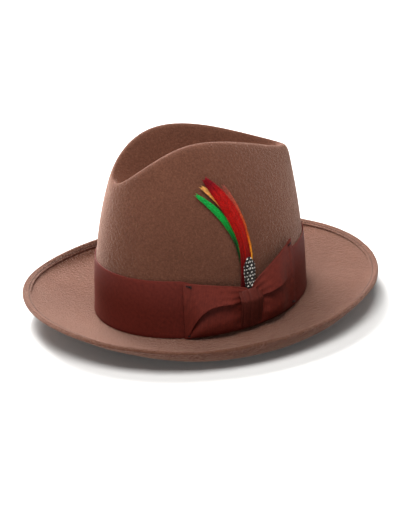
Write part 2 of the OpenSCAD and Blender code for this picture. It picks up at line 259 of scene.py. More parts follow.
# %% Felt
def felt_finish():
    mat, t, shader = new_finish(
        "brushed_wool_felt", Roughness=0.8, Specular_IOR_Level=0.22,
        Sheen_Weight=0.55, Sheen_Roughness=0.34, Sheen_Tint=tint("#f3cbb9"))
    place = add(t, "TexCoord").outputs["Object"]
    fibre = add(t, "TexNoise", {"Vector": place}, Scale=900, Detail=6, Roughness=0.75, Distortion=1.2)
    tuft = add(t, "TexNoise", {"Vector": place}, Scale=560, Detail=5, Roughness=0.65, Distortion=0.8)
    cloud = add(t, "TexNoise", {"Vector": place}, Scale=16, Detail=3, Roughness=0.5)
    mix = add(t, "Math", {0: fibre.outputs[0], 1: tuft.outputs[0]}, operation="ADD")
    both = add(t, "Math", {0: cloud.outputs[0], 1: 0.35, 2: mix.outputs[0]},
               operation="MULTIPLY_ADD")
    level = add(t, "Math", {0: both.outputs[0], 1: 2.35}, operation="DIVIDE")
    shade = add(t, "ValToRGB", {0: level.outputs[0]},
                stops=[(0.38, "#4e2d1c"), (0.5, "#5f3828"), (0.62, "#744936")])
    t.links.new(shade.outputs[0], shader.inputs["Base Color"])
    fine = add(t, "Bump", {"Height": fibre.outputs[0]}, Strength=0.35, Distance=0.0003)
    grain = add(t, "TexNoise", {"Vector": place}, Scale=400, Detail=5, Roughness=0.65,
                Distortion=0.8)
    height = add(t, "SeparateXYZ", {0: place})
    brim = add(t, "MapRange", {0: height.outputs[2]}, From_Min=0.03, From_Max=0.06,
               To_Min=1.0, To_Max=0.34)
    rough = add(t, "Math", {0: grain.outputs[0], 1: brim.outputs[0]}, operation="MULTIPLY")
    coarse = add(t, "Bump", {"Height": rough.outputs[0], "Normal": fine.outputs[0]}, Strength=0.9,
                 Distance=0.0042)
    t.links.new(coarse.outputs[0], shader.inputs["Normal"])
    return mat


FELT = felt_finish()
print("felt ready")

# %% [markdown]
# ### Grosgrain ribbon
# Grosgrain is woven with a thick weft, so it has ribs straight across its width, about 0.7 mm
# apart. They are drawn at 1.3 mm so that they show. The silk-like yarn gives a soft shine, and two
# layers pressed together leave a faint watered pattern. The ribs follow the piece's own UV map,
# which is in millimetres.


# %% Grosgrain
RIB, WATER = 1.3, 4.5


def ribbon_finish(name, dark, mid, light):
    mat, t, shader = new_finish(
        name, Roughness=0.6, Specular_IOR_Level=0.16, Sheen_Weight=0.04, Sheen_Roughness=0.4,
        Sheen_Tint=tint("#d99484"))
    uv = add(t, "UVMap").outputs[0]
    soft = add(t, "TexNoise", {"Vector": uv}, Scale=0.05, Detail=2)
    bend = add(t, "MixRGB", {"Color1": uv, "Color2": soft.outputs["Color"]}, Fac=0.02)
    ribs = add(t, "TexWave", {"Vector": bend.outputs[0]}, wave_type="BANDS",
               bands_direction="X", Scale=bands(RIB), Distortion=0.15, Detail=1)
    water = add(t, "TexWave", {"Vector": uv}, wave_type="BANDS", bands_direction="DIAGONAL",
                Scale=bands(WATER), Distortion=5, Detail=2, Detail_Scale=0.8)
    yarn = add(t, "TexNoise", {"Vector": uv}, Scale=0.35, Detail=4, Roughness=0.6)
    faint = add(t, "Math", {0: ribs.outputs["Fac"], 1: 0.08}, operation="MULTIPLY")
    watered = add(t, "Math", {0: water.outputs["Fac"], 1: faint.outputs[0], 2: faint.outputs[0]},
                  operation="MULTIPLY_ADD")
    level = add(t, "Math", {0: yarn.outputs["Fac"], 1: 0.6, 2: watered.outputs[0]},
                operation="MULTIPLY_ADD")
    shade = add(t, "ValToRGB", {0: level.outputs[0]},
                stops=[(0.15, dark), (0.48, mid), (0.85, light)])
    t.links.new(shade.outputs[0], shader.inputs["Base Color"])
    raised = add(t, "Bump", {"Height": ribs.outputs["Fac"]}, Strength=0.16, Distance=0.0003)
    t.links.new(raised.outputs[0], shader.inputs["Normal"])
    return mat


RIBBON = ribbon_finish("grosgrain_ribbon", "#4e1912", "#67241b", "#7f3527")
BOW = ribbon_finish("grosgrain_bow", "#521c15", "#6c291f", "#883c2c")
# The knot is the same grosgrain as the bow, painted darker: painted shade for the shade that falls on
# the gathered knot.
KNOT_SHADED_CLOTH = ribbon_finish("grosgrain_knot_painted_shade", "#461812", "#59231a", "#6e3126")
print("ribbon ready")

# %% [markdown]
# ### Thread, leather, satin, card and feather
# Cotton thread is matt with a twist. Sweatband leather is sheepskin: fine pores and a low shine.
# Satin has long floats of yarn on its face, which stretch its highlight across the weave. A
# dyed hackle is a shiny feather whose barbs run out from a quill; its colour darkens toward the
# root. A guinea feather is black with rows of round white spots.


# %% Thread and card
def thread_finish(name, code):
    mat, t, shader = new_finish(name, Roughness=0.85, Specular_IOR_Level=0.2, Sheen_Weight=0.2)
    place = add(t, "TexCoord").outputs["Object"]
    twist = add(t, "TexNoise", {"Vector": place}, Scale=2500, Detail=2)
    shade = add(t, "HueSaturation", {"Value": twist.outputs["Fac"]}, Color=tint(code))
    light = add(t, "BrightContrast", {"Color": shade.outputs[0]}, Bright=0.01, Contrast=0.1)
    t.links.new(light.outputs[0], shader.inputs["Base Color"])
    bump = add(t, "Bump", {"Height": twist.outputs["Fac"]}, Strength=0.4, Distance=0.0002)
    t.links.new(bump.outputs[0], shader.inputs["Normal"])
    return mat


SEAM_THREAD = thread_finish("cotton_thread_brown", "#4a2c22")
TACK_THREAD = thread_finish("cotton_thread_dark", "#2c1410")
PALE_THREAD = thread_finish("cotton_thread_pale", "#cdb99c")
REED_CLOTH = thread_finish("cotton_tape_over_reed", "#b7a084")
CARD = thread_finish("plain_card", "#f0ebe0")
print("thread and card ready")


# %% Leather and satin
def leather_finish():
    mat, t, shader = new_finish("sheepskin_leather", Roughness=0.52, Specular_IOR_Level=0.4)
    uv = add(t, "UVMap").outputs[0]
    pores = add(t, "TexVoronoi", {"Vector": uv}, Scale=1.1, feature="DISTANCE_TO_EDGE")
    hide = add(t, "TexNoise", {"Vector": uv}, Scale=0.08, Detail=5, Roughness=0.6)
    shade = add(t, "ValToRGB", {0: hide.outputs["Fac"]},
                stops=[(0.3, "#5c3b2a"), (0.55, "#744c37"), (0.8, "#855a43")])
    t.links.new(shade.outputs[0], shader.inputs["Base Color"])
    bump = add(t, "Bump", {"Height": pores.outputs["Distance"]}, Strength=0.25, Distance=0.0002)
    t.links.new(bump.outputs[0], shader.inputs["Normal"])
    return mat


def satin_finish():
    mat, t, shader = new_finish("acetate_satin", Roughness=0.42, Specular_IOR_Level=0.4,
                                Anisotropic=0.5, Sheen_Weight=0.08, Sheen_Tint=tint("#c98579"))
    uv = add(t, "UVMap").outputs[0]
    floats = add(t, "TexWave", {"Vector": uv}, wave_type="BANDS", bands_direction="Y", Scale=0.5,
                 Distortion=1.5, Detail=2)
    cloud = add(t, "TexNoise", {"Vector": uv}, Scale=0.04, Detail=3)
    both = add(t, "Math", {0: floats.outputs["Fac"], 1: cloud.outputs["Fac"]}, operation="MULTIPLY")
    shade = add(t, "ValToRGB", {0: both.outputs[0]}, stops=[(0.0, "#5a2020"), (0.5, "#6f2b2a")])
    t.links.new(shade.outputs[0], shader.inputs["Base Color"])
    bump = add(t, "Bump", {"Height": floats.outputs["Fac"]}, Strength=0.1, Distance=0.0001)
    t.links.new(bump.outputs[0], shader.inputs["Normal"])
    return mat


LEATHER, SATIN = leather_finish(), satin_finish()
print("leather and satin ready")


# %% Feather colours
# UV x runs across the vane and y along the feather, both in mm.
def hackle_finish(name, length, stops):
    mat, t, shader = new_finish(name, Roughness=0.5, Specular_IOR_Level=0.14)
    uv = add(t, "UVMap").outputs[0]
    split = add(t, "SeparateXYZ", {0: uv})
    along = add(t, "MapRange", {0: split.outputs[1]}, From_Max=length)
    base = add(t, "ValToRGB", {0: along.outputs[0]}, stops=stops)
    streak = add(t, "TexNoise", {"Vector": uv}, Scale=0.9, Detail=3, Roughness=0.7)
    dark = add(t, "MapRange", {0: streak.outputs["Fac"]}, From_Min=0.3, From_Max=0.7,
               To_Min=0.3, To_Max=1.5)
    shade = add(t, "HueSaturation", {"Value": dark.outputs[0], "Color": base.outputs[0]})
    t.links.new(shade.outputs[0], shader.inputs["Base Color"])
    return mat


SPOT_ROW, SPOT_GAP = 3.0, 3.6


def spotted_finish():
    mat, t, shader = new_finish("guinea_feather", Roughness=0.5, Specular_IOR_Level=0.4)
    uv = add(t, "UVMap").outputs[0]
    split = add(t, "SeparateXYZ", {0: uv})
    row = add(t, "Math", {0: split.outputs[1], 1: SPOT_ROW}, operation="DIVIDE")
    low = add(t, "Math", {0: row.outputs[0]}, operation="FLOOR")
    odd = add(t, "Math", {0: low.outputs[0], 1: 2}, operation="MODULO")
    # In every second row the spots stand twice as close.
    shift = add(t, "Math", {0: odd.outputs[0], 1: split.outputs[0], 2: split.outputs[0]},
                operation="MULTIPLY_ADD")
    col = add(t, "Math", {0: shift.outputs[0], 1: SPOT_GAP}, operation="DIVIDE")
    across = add(t, "Math", {0: col.outputs[0]}, operation="FRACT")
    up = add(t, "Math", {0: row.outputs[0]}, operation="FRACT")
    where = add(t, "CombineXYZ", {0: across.outputs[0], 1: up.outputs[0]})
    far = add(t, "VectorMath", {0: where.outputs[0], 1: (0.5, 0.5, 0)}, operation="DISTANCE")
    shade = add(t, "ValToRGB", {0: far.outputs["Value"]},
                stops=[(0.0, "#f4f0ea"), (0.19, "#e2dcd2"), (0.25, "#17120f")])
    t.links.new(shade.outputs[0], shader.inputs["Base Color"])
    return mat


RED = hackle_finish("hackle_dyed_red", 100, [
    (0, "#460507"), (0.2, "#6e0707"), (0.55, "#a81107"), (0.9, "#b0120e"), (1, "#800b18")])
ORANGE = hackle_finish("hackle_dyed_orange", 95, [
    (0, "#7a1c0a"), (0.5, "#d1501a"), (0.8, "#f79a2a"), (1, "#f2b062")])
GREEN = hackle_finish("hackle_dyed_green", 90, [
    (0, "#12200f"), (0.5, "#1b4a20"), (0.72, "#12a03a"), (1, "#1fb24d")])
GOLD = hackle_finish("hackle_dyed_gold", 92, [
    (0, "#e08a1a"), (0.28, "#ffb326"), (0.5, "#e0641c"), (0.8, "#c0503a"), (1, "#9d5548")])
SPOTTED = spotted_finish()
print("feathers ready")

# %% [markdown]
# ## The felt
# The measured solid is a mesh of loose triangles. A copy of it is merged, its triangles are
# joined to quads, and the folded edge of the welt is marked sharp. Subdivision then rounds it, as
# steam rounds real felt. Blocked felt is never quite even, so where nothing lies against it a
# soft cloud lifts or lowers it by a few tenths of a millimetre.

# %% Felt body
clear()
felt = bpy.data.objects.new("felt_hat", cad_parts["felt_body"].data.copy())
bpy.context.collection.objects.link(felt)
only(felt)
bpy.ops.object.mode_set(mode="EDIT")
bpy.ops.mesh.select_all(action="SELECT")
bpy.ops.mesh.remove_doubles(threshold=1e-6)
bpy.ops.mesh.tris_convert_to_quads(face_threshold=3.1, shape_threshold=3.1)
bpy.ops.mesh.select_all(action="DESELECT")
bpy.ops.mesh.edges_select_sharp(sharpness=math.radians(62))
bpy.ops.transform.edge_crease(value=0.55)
bpy.ops.object.mode_set(mode="OBJECT")
round_off = felt.modifiers.new("steam", "SUBSURF")
round_off.levels = round_off.render_levels = 2
settle(felt)
free = felt.vertex_groups.new(name="free_felt")
for v in felt.data.vertices:
    x, y, z = v.co / MM
    past_break = eased((math.hypot(x / CROWN_W, y / CROWN_L) - 1.12) / 0.2)
    above_lining = eased((z - 112) / 20)
    free.add([v.index], max(past_break, above_lining), "REPLACE")
uneven = bpy.data.textures.new("hand_blocked", "CLOUDS")
uneven.noise_scale, uneven.noise_depth = 0.06, 1
push = felt.modifiers.new("uneven", "DISPLACE")
push.texture, push.strength, push.mid_level = uneven, 0.0016, 0.5
push.direction, push.vertex_group = "Z", free.name
settle(felt)
wear(smooth(felt, 50), FELT)
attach(felt, "hat")
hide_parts("felt_body")
print("felt", len(felt.data.polygons), "faces")

# %% [markdown]
# ## Tubes
# Thread, cord and quills are all round rods that follow a line. `tube` bends a flat grid round the
# line, merges the two edges that meet and closes the ends. One rule gives the middle and the
# radius at each place along it.


# %% Tube tool
def tube(name, along, around, line, closed=False):
    """line(x) gives (point in mm, radius in mm) for x from 0 to 1."""
    obj = flat_cloth(name, along, around)

    def rule(x, y):
        p, r = line(x)
        ahead, behind = line(min(x + 0.01, 1))[0], line(max(x - 0.01, 0))[0]
        if closed and (x < 0.005 or x > 0.995):
            ahead, behind = line(0.01)[0], line(0.99)[0]
        t = (ahead - behind).normalized()
        side = t.cross(Vector((0.13, 0.27, 0.95))).normalized()
        turn = 2 * math.pi * y
        return p + side * r * math.cos(turn) + t.cross(side) * r * math.sin(turn)

    lay(obj, rule)
    only(obj)
    bpy.ops.object.mode_set(mode="EDIT")
    bpy.ops.mesh.select_all(action="SELECT")
    bpy.ops.mesh.remove_doubles(threshold=1e-6)
    if not closed:
        bpy.ops.mesh.select_all(action="DESELECT")
        bpy.ops.mesh.select_non_manifold()
        bpy.ops.mesh.fill_holes(sides=64)
    bpy.ops.mesh.select_all(action="SELECT")
    bpy.ops.mesh.normals_make_consistent(inside=False)
    bpy.ops.object.mode_set(mode="OBJECT")
    return smooth(obj, 70)


def copied(obj, rule):
    """A copy with its own mesh, each point moved by rule(point in mm)."""
    twin = bpy.data.objects.new(obj.name, obj.data.copy())
    bpy.context.collection.objects.link(twin)
    for v in twin.data.vertices:
        v.co = rule(v.co / MM) * MM
    return twin


def joined(name, parts):
    clear()
    for p in parts:
        p.select_set(True)
    bpy.context.view_layer.objects.active = parts[0]
    bpy.ops.object.join()
    return started(name)


def middle_line(node, count=60):
    """Middle of a CAD thread at each of count angles round the hat, in mm."""
    rings = [[] for _ in range(count)]
    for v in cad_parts[node].data.vertices:
        turn = math.atan2(v.co.x / (CROWN_W + 60), -v.co.y / (CROWN_L + 60))
        rings[round(turn / (2 * math.pi) * count) % count].append(v.co / MM)
    return [sum(r, Vector()) / len(r) for r in rings]


print("tube tool ready")


# %% [markdown]
# ## The welt's stitches
# The brim's edge is folded over and sewn down with a running stitch, each about 2 mm of thread
# showing and then a gap. One stitch is a short rod that dips into the felt at both ends. It is
# copied round the edge. Each copy is dropped on the nearest felt, so that none floats.

# %% Welt stitches
edge = middle_line("welt_stitching")
on_felt = []
for p in edge:
    hit, place, normal, _ = felt.closest_point_on_mesh(p * MM)
    on_felt.append((place / MM, normal))


def round_edge(x):
    k = (x % 1) * len(on_felt)
    i, f = int(k) % len(on_felt), k % 1
    a, b = on_felt[i], on_felt[(i + 1) % len(on_felt)]
    return a[0].lerp(b[0], f), a[1].lerp(b[1], f).normalized()


def thread_at(x, radius):
    """A short thread's middle and radius, a little thinner at both ends."""
    return Vector((x, 0, 0)), radius * math.sin(math.pi * (0.12 + 0.76 * x)) ** 0.4


STITCHES, SHOWN = 336, 0.68
stitch = tube("stitch", 6, 6, lambda x: thread_at(x, 0.26))
stitches = []
for i in range(STITCHES):
    start, length = i / STITCHES, SHOWN / STITCHES

    def rule(p, start=start, length=length):
        at, up = round_edge(start + length * p.x)
        ahead = round_edge(start + length * p.x + 0.002)[0]
        side = up.cross(ahead - at).normalized()
        return at + up * (0.34 * math.sin(math.pi * p.x) - 0.12 + p.z) + side * p.y

    stitches.append(copied(stitch, rule))
bpy.data.objects.remove(stitch)
welt_thread = wear(smooth(joined("welt_stitches", stitches)), SEAM_THREAD)
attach(welt_thread, "hat")
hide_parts("welt_stitching")
print("stitches", len(stitches))

# %% [markdown]
# ## The crown ribbon
# The ribbon is 55 mm wide and 0.9 mm thick with its lining. It is one long strip, ironed to
# a slight curve and drawn tight round the crown, with its ends hidden under the bow. It is made as
# a strip of grid, laid on the wall, and thickened. Its lower edge flares a little on to the brim.


# %% Ribbon
RIBBON_W, RIBBON_LIFT, RIBBON_DIP = 55, 0.9, 17
RIBBON_OUT = 0.4 + 0.5  # the gap to the felt, and half the cloth


def ribbon_top(angle):
    dip = min(eased((angle - KNOT + 37) / 26), eased((KNOT + 23 - angle) / 18))
    return RIBBON_LIFT + RIBBON_W - RIBBON_DIP * dip


def ribbon_place(x, y):
    angle = (KNOT + 360 * x) % 360
    z = break_at(angle) + RIBBON_LIFT + (ribbon_top(angle) - RIBBON_LIFT) * y
    ripple = 0.12 * math.sin(x * 61) * math.sin(3.1 * y) + 0.1 * math.sin(x * 23 + 2)
    return wall(angle, z, RIBBON_OUT + 0.9 * (1 - y) ** 6 + ripple)


ribbon = lay(flat_cloth("crown_ribbon", 300, 14), ribbon_place, 612, RIBBON_W)
outward(ribbon)
wear(smooth(thicken(ribbon, 0.85, 0, 0.3), 45), RIBBON)
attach(ribbon, "hat")
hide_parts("ribbon")
print("ribbon", len(ribbon.data.polygons), "faces")

# %% [markdown]
# ## The bow
# A hatter's bow is flat. The same ribbon is folded to a loop on each side, gathered at the middle
# into a pleat, and a short piece is wrapped over the gathers. Each wing is one strip: out along
# the face, round the end and back underneath. Across its width the face runs up the lower panel,
# doubles back under the pleat, and runs up the upper panel, so the upper panel overhangs and
# casts the dark line that a pleat shows. The last 5 mm before the end stands up a little,
# over the turned hem.

# %% Bow measures
OVER, POCKET = 1.3, 3.0
BEHIND = OVER + POCKET
KNOT_Z = break_at(KNOT) + 3 + 19
WING_T = 2.2


def wing(name, side, reach, end_h, end_z, pleat, close, seed=0):
    def place(x, y):
        back = x > 0.62
        s = min(1, x / 0.58) if not back else (1 - x) / 0.38
        s = min(1, max(0, s))
        f = s ** 0.9
        angle = KNOT + side * DEG * (1.5 + (reach - 1.5) * s + (0.5 if 0.58 < x < 0.64 else 0))
        low = (BEHIND + 1) * (1 - s ** 1.6) + (OVER + 0.9) * s ** 1.6
        low_z = (KNOT_Z - 18) * (1 - f) + (end_z - end_h / 2) * f
        top_z = KNOT_Z + 18 + (end_z + end_h / 2 - KNOT_Z - 18) * s ** 0.62
        high_, fall, power = pleat
        vp = max(0.05, high_ - fall * (1 if back else s) ** power)
        deep = 0.02 + 0.07 * (1 - s) ** 0.6
        open_ = (0.6 + 0.4 * eased(s / 0.3)) * (1 - eased((s - close[0]) / (close[1] - close[0])))
        rise = 5.0 * open_
        if y < 0.42:
            q = y / 0.42
            v = q * (vp + deep)
            w = 0.9 + 0.85 * rise * max(0, math.sin(math.pi * q ** 0.65)) - 1.2 * open_ * q ** 2
        elif y < 0.58:
            q = eased((y - 0.42) / 0.16)
            v = vp + deep * (1 - q)
            w = 0.9 - 1.2 * open_ * (1 - q) + (0.3 + rise) * q
        else:
            q = (y - 0.58) / 0.42
            v = vp + (1 - vp) * q
            w = 1.2 + rise * max(0, 1 - q) ** 1.6 + 0.5 * open_ * math.sin(math.pi * q)
        w = low + w * (0.2 + 0.8 * eased((s - 0.12) / 0.2))
        if s > 0.905 and not back:
            w += 0.55
        if back:
            w = low + 0.25
        z = low_z + (top_z - low_z) * v
        gather = 0.5 * (1 - s) ** 3 * math.sin(y * 44 + seed)
        return wall(angle, z, w + (gather if not back else 0))

    obj = lay(flat_cloth(name, 64, 44), place, reach * 1.75, RIBBON_W)
    outward(obj)
    thicken(obj, 0.42, 0)
    m = obj.modifiers.new("soften", "SUBSURF")
    m.levels = m.render_levels = 1
    settle(obj)
    wear(smooth(obj, 70), BOW)
    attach(obj, "hat")
    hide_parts(name.replace("bow_", "bow_wing_"))
    return obj


front_end, back_end = KNOT - 54 * DEG, KNOT + 52 * DEG
bow_front = wing("bow_front", -1, 54, 54, break_at(front_end) + RIBBON_LIFT + 27,
                 (0.64, 0.8, 5), (0.78, 1.0))
bow_back = wing("bow_back", 1, 52, 62, break_at(back_end) + RIBBON_LIFT + 34,
                (0.6, 0.16, 1.5), (0.5, 0.8), seed=2)
print("bow wings", len(bow_front.data.polygons) + len(bow_back.data.polygons), "faces")


# %% Backing tab
def tab_place(x, y):
    s = 2 * x - 1
    half = 9.5 + 7
    drop = 1.3 * abs(s) ** 4
    return wall(KNOT + s * half * DEG, KNOT_Z + (y - 0.5) * 33, BEHIND + 0.35 - drop)


backing = outward(lay(flat_cloth("bow_tab", 24, 12), tab_place, 33, 34))
wear(smooth(thicken(backing, 0.6, 0, 0.15), 50), BOW)
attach(backing, "hat")
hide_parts("bow_backing")
print("backing tab", len(backing.data.polygons), "faces")

# %% [markdown]
# ### The knot
# The knot is a strip of ribbon wrapped once round the gathers from top to bottom. It is folded
# lengthwise in three, so that its face shows two upright folds, and the fold on the right lies
# a layer lower. Its top slopes back over the gathers and takes the light.


# %% Knot
def knot_place(x, y):
    s = 2 * x - 1
    base = BEHIND + 1 + WING_T + 1.3
    face = 2.3 * (1 - 0.45 * abs(s) ** 3)
    first = -1.7 * eased((s - 0.5) / 0.08) + 0.5 * eased((s - 0.58) / 0.2)
    grooves = -0.7 * math.exp(-((s + 0.78) / 0.06) ** 2) - 0.6 * math.exp(-((s + 0.2) / 0.08) ** 2)
    slope = -5.6 * max(0, (y - 0.72) / 0.28) ** 1.2 - 4.0 * (1 - min(1, y / 0.72)) ** 1.2
    tuck = -2.6 * (max(0, abs(2 * y - 1) - 0.93) / 0.07) ** 2
    waist = 1 - 0.06 * math.sin(math.pi * y)
    w = base + face + first + grooves + slope + tuck
    return wall(KNOT + s * 10.3 * waist * DEG, KNOT_Z + (y - 0.5) * 38, w)


knot = outward(lay(flat_cloth("bow_wrap", 48, 36), knot_place, 24, 52))
thicken(knot, 0.5, -1)
m = knot.modifiers.new("soften", "SUBSURF")
m.levels = m.render_levels = 1
settle(knot)
# The knot's darker grosgrain is painted shade.
wear(smooth(knot, 60), KNOT_SHADED_CLOTH)
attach(knot, "hat")
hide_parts("bow_knot")
print("knot", len(knot.data.polygons), "faces")

# %% [markdown]
# ### Tacks
# Each free corner of the bow is caught to the hat by a few turns of thread, which cross in a
# small bar. One strand is modelled and copied.

# %% Tacks
strand = tube("strand", 8, 6, lambda x: (Vector((x, 0, 0)), 0.22))
tacks = []
for side, reach, end_h, rise in ((-1, 54, 54, 27), (1, 52, 62, 34)):
    angle = KNOT + side * (reach - 4.4) * DEG
    mid = break_at(angle) + RIBBON_LIFT + rise
    for corner in (-1, 1):
        z = mid + corner * (end_h / 2 - 3.6)
        for k in range(5):
            lean = random.uniform(-0.5, 0.5) + corner * side * 0.3
            dz = random.uniform(-0.55, 0.55)

            def rule(p, angle=angle, z=z, lean=lean, dz=dz):
                along = (p.x - 0.5) * 4.6
                lift = OVER + WING_T + 1.15 + 0.55 * math.sin(math.pi * p.x)
                return wall(angle + (along + p.y * 0.3) * DEG, z + dz + lean * along + p.z, lift + p.y)

            tacks.append(copied(strand, rule))
bpy.data.objects.remove(strand)
tack = wear(smooth(joined("bow_tack_threads", tacks)), TACK_THREAD)
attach(tack, "hat")
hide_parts("bow_tacks")
print("tack strands", len(tacks))

# %% [markdown]
# ## The feathers
# A feather is a quill with barbs on both sides. Each barb leaves the quill at a slant and ends on
# the feather's outline, so the outline is given as a half width and each barb finds its own end.
# One barb is a narrow strip. It is copied a few hundred times, and each copy is bent from the
# quill to the outline with a little disorder. A thin web below stops light passing between barbs.

# %% Feather rule
QUILL_L = 31
MOUTH = KNOT_Z + 19
ROOT = MOUTH - QUILL_L
FEATHER_AT = KNOT - 1.5


def vane(slot, out, reach, width, turn, lead, base=2.0, late=2.6):
    """Rules for a feather: place(s, across, lift) and half width(s)."""
    def half(s):
        if s >= 1 or s <= -0.08:
            return 0.0
        k = max(s, 0.001)
        full = width / 2 * min(1, math.sin(math.pi * (0.975 * k) ** 1.12) ** 0.6 * (0.35 + 0.75 * k))
        return max(full, base * (1 - (max(s, 0) / 0.8) ** 3) if s < 0.8 else 0)

    def place(s, across, lift):
        k = max(s, 0)
        angle = FEATHER_AT + slot * 1.35 * DEG
        angle -= (turn * k ** late - lead * math.sin(math.pi * min(k, 1))) * DEG
        z = MOUTH + reach * s * (1 - 0.1 * k * turn / 30)
        slant = across * 0.75 * turn * k ** 1.6 * 2.6 / reach
        return wall(angle + across * DEG, z + slant, out + 0.004 * reach * k + lift)

    return place, half


barb = flat_cloth("barb", 1, 5)
thick = barb.modifiers.new("thickness", "SOLIDIFY")
thick.thickness, thick.offset = 0.1, 0
settle(barb)


def feather(name, node, rules, reach, count, finish, slant=13.0, messy=0.12, start=-0.06,
            barb_w=0.5):
    place, half = rules
    end = 0.985  # the last barbs leave just short of the quill's tip
    parts = []
    uv0 = [tuple(d.uv) for d in barb.data.uv_layers.active.data]
    for i in range(count):
        for side in (-1, 1):
            s0 = start + (end - start) * (i + 0.5 * (side > 0)) / count
            advance = slant / reach * (1 - 0.55 * max(s0, 0)) * random.uniform(1 - messy, 1 + messy)
            tip = min(1.0, s0 + advance)
            w_tip = half(min(tip, 0.995)) * random.uniform(1 - messy, 1 + 0.5 * messy)
            lift0 = random.uniform(-0.16, 0.16)
            lift1 = random.uniform(-0.25, 0.3)
            thin = barb_w * random.uniform(0.8, 1.2)

            def rule(p, s0=s0, tip=tip, w_tip=w_tip, side=side, lift0=lift0, lift1=lift1, thin=thin):
                q = p.y / 1000 + 0.5
                half_w = thin * (1 - 0.75 * q)
                across = side * w_tip * q ** 0.75
                s = s0 + (tip - s0) * q ** 1.15 + p.x / 1000 * half_w * 1.7 / reach
                bulge = 0.35 * math.sin(math.pi * q)
                lift = lift0 * (1 - q) + lift1 * q + p.z / 1000 * 0.9 + 0.35 + bulge * 0.4
                return place(s, across, lift)

            one = copied(barb, rule)
            data = one.data.uv_layers.active.data
            for d, (_, q) in zip(data, uv0):
                d.uv = (side * w_tip * q ** 0.75, (s0 + (tip - s0) * q) * reach)
            parts.append(one)
    quill = tube(name + "_quill", 30, 8, lambda x: (
        place(-QUILL_L / reach + (0.97 + QUILL_L / reach) * x, 0, 0.45), 0.62 * (1 - x) ** 0.7 + 0.09))
    sheet = flat_cloth(name + "_web", 10, 60)

    def web_place(x, y):
        s = start + (end - start) * y
        return place(s, (2 * x - 1) * half(s) * 0.9, 0.12)

    lay(sheet, web_place)
    for d in sheet.data.uv_layers.active.data:
        x, y = d.uv
        s = start + (end - start) * y
        d.uv = ((2 * x - 1) * half(s) * 0.9, s * reach)
    outward(sheet)
    thicken(sheet, 0.12, 0)
    parts.append(sheet)
    body = joined(name, parts)
    wear(body, finish)
    only(body)
    bpy.ops.object.shade_smooth()
    for d in quill.data.uv_layers.active.data:
        d.uv = (d.uv[1] * 2, d.uv[0] * reach)
    wear(quill, finish)
    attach(body, "feathers")
    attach(quill, "feathers")
    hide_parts(node)
    return body


red = feather("red_hackle", "feather_red", vane(0, 3.2, 107, 15.0, 24, 4, 5.2),
              107, 250, RED, barb_w=0.6)
orange = feather("orange_hackle", "feather_orange", vane(-1, 1.9, 102, 9.0, 27, 3, 1.4, 3.8),
                 101, 170, ORANGE)
green = feather("green_hackle", "feather_green", vane(-2, 0.9, 97, 7.6, 31, 3.2, 1.0, 2.75),
                97, 170, GREEN, messy=0.2)
gold = feather("gold_hackle", "feather_gold", vane(2, 2.3, 94, 8.0, 10, 4.0, 4.0),
               94, 110, GOLD, slant=22, messy=0.35, barb_w=0.42)
print("hackles", sum(len(o.data.polygons) for o in (red, orange, green, gold)), "faces")


# %% Spotted feather
def spotted_rules():
    def half(s):
        if s > 0.999 or s < -0.2:
            return 0.0
        k = max(s, 0.0)
        return 5.3 * min(1, (1 - k) / 0.28) ** 0.5 * (0.8 + 0.2 * min(1, k / 0.5))

    def place(s, across, lift):
        angle = FEATHER_AT + (2.7 + 1.5 * max(s, 0)) * DEG + across * DEG
        return wall(angle, MOUTH + 27 * s, 4.9 + lift)

    return place, half


spotted = feather("guinea_vane", "feather_spotted", spotted_rules(), 27, 60, SPOTTED, slant=4.5,
                  messy=0.06, start=-0.15, barb_w=0.62)
bpy.data.objects.remove(barb)
print("spotted feather", len(spotted.data.polygons), "faces")

# %% [markdown]
# ### The binding
# The quills are bound with a few turns of thread low in the pocket behind the knot. One flat
# ring is made and copied up the bundle.


# %% Quill binding
def turn_line(x):
    u = 2 * math.pi * x
    return Vector((5.0 * math.cos(u), 1.15 * math.sin(u), 0)), 0.28


turn_one = tube("turn", 28, 6, turn_line, closed=True)
turns = []
for k in range(16):
    tilt = random.uniform(-0.05, 0.05)

    def rule(p, k=k, tilt=tilt):
        z = ROOT + 5 + 0.62 * k + p.z + tilt * p.x
        return wall(FEATHER_AT + 0.35 * DEG + p.x * DEG * 0.9, z, 2.0 + 0.55 + p.y * 0.62)

    turns.append(copied(turn_one, rule))
bpy.data.objects.remove(turn_one)
binding = wear(smooth(joined("binding_thread", turns)), TACK_THREAD)
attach(binding, "feathers")
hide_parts("quill_binding")
print("binding turns", len(turns))

# %% [markdown]
# ## The inside
# A leather sweatband stands inside the opening, sewn to a cord called the reed. Behind it a
# satin lining runs up to an oval tip. Their parts are laid on the same wall, on its inner side.

# %% Sweatband
IN = -FELT_T
SWEAT = IN - 0.7 - 0.5 - 0.3


def sweat_place(x, y):
    angle = 180.6 + 358.8 * x
    z = break_at(angle) + 1.8 + 36 * y
    return wall(angle, z, SWEAT - 0.55 + 0.1 * math.sin(x * 40) * y)


sweat = outward(lay(flat_cloth("leather_sweatband", 240, 12), sweat_place, 578, 36))
wear(smooth(thicken(sweat, 1.0, 0, 0.3), 45), LEATHER)
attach(sweat, "hat")
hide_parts("sweatband")
print("sweatband", len(sweat.data.polygons), "faces")

# %% Reed and its stitches
reed = tube("sweatband_cord", 360, 12, lambda x: (
    wall(360 * x, break_at(360 * x) + 0.3, SWEAT - 0.55), 1.1 + 0.06 * math.sin(x * 1400)), closed=True)
wear(reed, REED_CLOTH)
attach(reed, "hat")
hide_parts("sweatband_reed")

